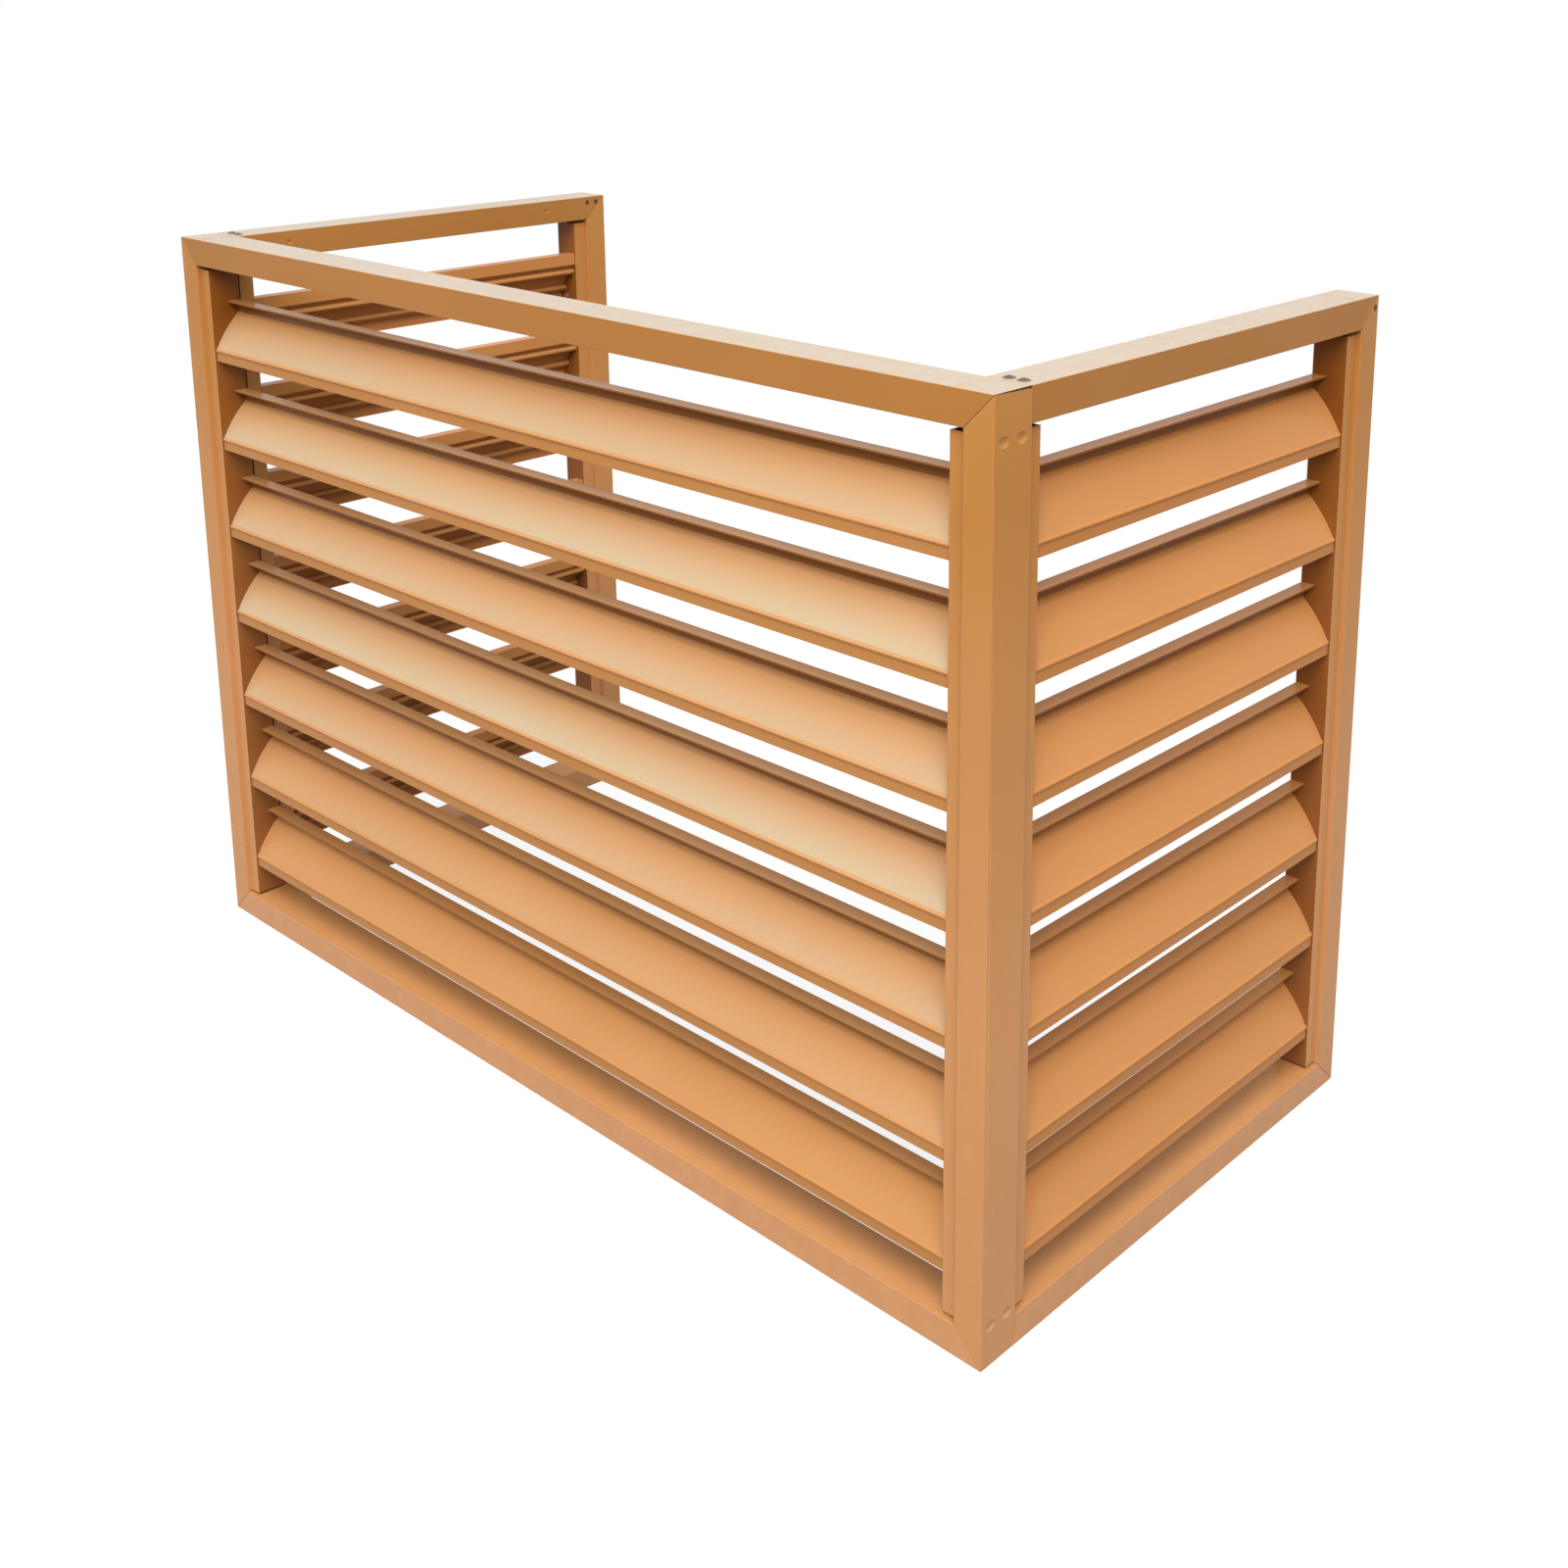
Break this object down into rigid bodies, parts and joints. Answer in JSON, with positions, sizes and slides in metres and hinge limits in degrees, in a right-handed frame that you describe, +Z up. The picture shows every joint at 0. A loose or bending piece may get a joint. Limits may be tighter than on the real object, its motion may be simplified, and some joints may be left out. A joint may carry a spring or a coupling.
{
  "type": "air conditioner screen",
  "caption": "Three-sided louvred metal screen that stands round an outdoor air conditioning unit, open at the back, top and bottom",
  "frame": {"origin": "middle of the footprint at floor level", "axes": "X along the front from left to right, Y from the front back towards the wall, Z up"},
  "size_m": [1, 0.485, 0.7014],
  "materials": {
    "frame_coat": "satin powder coat, light orange brown",
    "blade_coat": "satin powder coat, light orange brown",
    "channel_coat": "satin powder coat, light orange brown",
    "bare_alloy": "mill finish",
    "zinc_screw": "zinc plated",
    "rivet": "bare blind rivets, domed on top and flush underneath",
    "dark_screw": "blackened"
  },
  "bodies": {
    "root": {"bottom_rivets": "rivet", "bracket_screws": "zinc_screw", "channel_screws": "zinc_screw", "front_blade_1": "blade_coat", "front_blade_2": "blade_coat", "front_blade_3": "blade_coat", "front_blade_4": "blade_coat", "front_blade_5": "blade_coat", "front_blade_6": "blade_coat", "front_blade_7": "blade_coat", "front_blade_screws": "zinc_screw", "front_bottom_left_key": "bare_alloy", "front_bottom_rail": "frame_coat", "front_bottom_right_key": "bare_alloy", "front_left_blade_channel": "channel_coat", "front_left_post": "frame_coat", "front_right_blade_channel": "channel_coat", "front_right_post": "frame_coat", "front_top_left_key": "bare_alloy", "front_top_rail": "frame_coat", "front_top_right_key": "bare_alloy", "left_blade_1": "blade_coat", "left_blade_2": "blade_coat", "left_blade_3": "blade_coat", "left_blade_4": "blade_coat", "left_blade_5": "blade_coat", "left_blade_6": "blade_coat", "left_blade_7": "blade_coat", "left_blade_screws": "zinc_screw", "left_bottom_bracket": "bare_alloy", "left_bottom_rail": "frame_coat", "left_front_blade_channel": "channel_coat", "left_rear_blade_channel": "channel_coat", "left_rear_bottom_key": "bare_alloy", "left_rear_post": "frame_coat", "left_rear_top_key": "bare_alloy", "left_top_bracket": "bare_alloy", "left_top_rail": "frame_coat", "rear_corner_screws": "dark_screw", "right_blade_1": "blade_coat", "right_blade_2": "blade_coat", "right_blade_3": "blade_coat", "right_blade_4": "blade_coat", "right_blade_5": "blade_coat", "right_blade_6": "blade_coat", "right_blade_7": "blade_coat", "right_blade_screws": "zinc_screw", "right_bottom_bracket": "bare_alloy", "right_bottom_rail": "frame_coat", "right_front_blade_channel": "channel_coat", "right_rear_blade_channel": "channel_coat", "right_rear_bottom_key": "bare_alloy", "right_rear_post": "frame_coat", "right_rear_top_key": "bare_alloy", "right_top_bracket": "bare_alloy", "right_top_rail": "frame_coat", "top_rivets": "rivet"}
  },
  "joints": []
}
